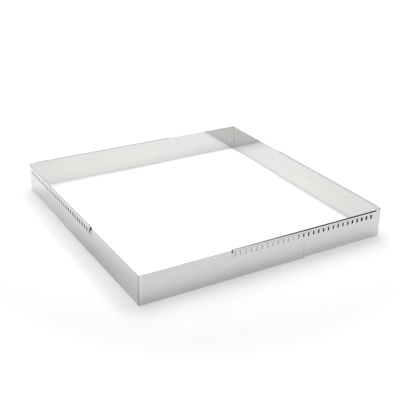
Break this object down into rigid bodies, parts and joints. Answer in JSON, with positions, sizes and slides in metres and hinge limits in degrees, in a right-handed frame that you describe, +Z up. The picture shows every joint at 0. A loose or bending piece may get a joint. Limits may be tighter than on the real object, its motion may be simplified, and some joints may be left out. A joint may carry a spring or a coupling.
{
  "type": "adjustable cake frame",
  "caption": "Rectangular cake frame with adjustable width and depth: plain L-shaped steel strips slide in the slotted folded hems of the strips at the other corners.",
  "frame": {"origin": "centre of the frame as it is set, on the plane that its lower edges stand on", "axes": "+Z up, +X along the frame's width from the near corner to the right corner, +Y along its depth from the near corner to the left corner"},
  "size_m": [0.4602, 0.4742, 0.0518],
  "materials": {
    "plain_steel": "satin-polished stainless steel sheet",
    "hemmed_steel": "satin-polished stainless steel sheet"
  },
  "bodies": {
    "near_strip": {"near_corner": "plain_steel"},
    "right_strip": {"right_corner": "hemmed_steel"},
    "far_strip": {"far_corner": "plain_steel"},
    "left_strip": {"left_corner": "hemmed_steel"}
  },
  "joints": [
    {"name": "width_slide", "type": "slide", "parent": "near_strip", "child": "right_strip", "axis": [1, 0, 0], "range_m": [-0.152, 0.114]},
    {"name": "depth_slide", "type": "slide", "parent": "near_strip", "child": "left_strip", "axis": [0, 1, 0], "range_m": [-0.166, 0.1]},
    {"name": "far_depth_slide", "type": "slide", "parent": "right_strip", "child": "far_strip", "axis": [0, 1, 0], "range_m": [-0.166, 0.1]}
  ],
  "couplings": [
    {"joint": "far_depth_slide", "follows": "depth_slide", "ratio": 1}
  ]
}
